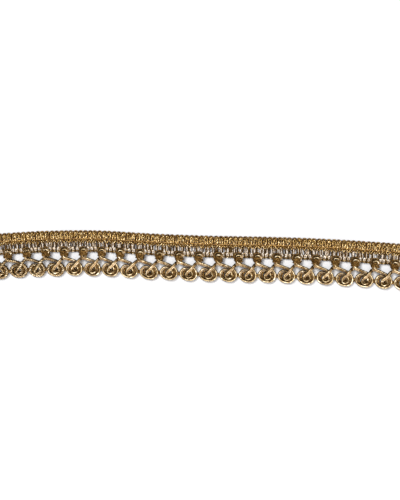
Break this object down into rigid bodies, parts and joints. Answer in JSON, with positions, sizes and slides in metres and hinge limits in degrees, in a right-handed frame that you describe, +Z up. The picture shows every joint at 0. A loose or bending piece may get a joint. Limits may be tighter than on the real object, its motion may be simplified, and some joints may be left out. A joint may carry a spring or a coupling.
{
  "type": "lace braid trim",
  "caption": "Cut length of metallic gold lace braid trim: a dense knitted heading with an open ladder and chain, edged by one gimp cord wound into a row of scrolls.",
  "frame": {"origin": "middle of the box that bounds the trim, on the surface it lies on", "axes": "+X along the trim to the right, +Y across it from the scrolls to the picot edge, +Z up from the surface"},
  "size_m": [0.184, 0.0252, 0.0028],
  "materials": {
    "heading_yarn": "knitted metallic gold yarn, glinting",
    "gimp_cord": "gimp cord wrapped in pale gold metallic yarn"
  },
  "bodies": {
    "root": {"lace_heading": "heading_yarn", "scroll_cord": "gimp_cord"}
  },
  "joints": []
}
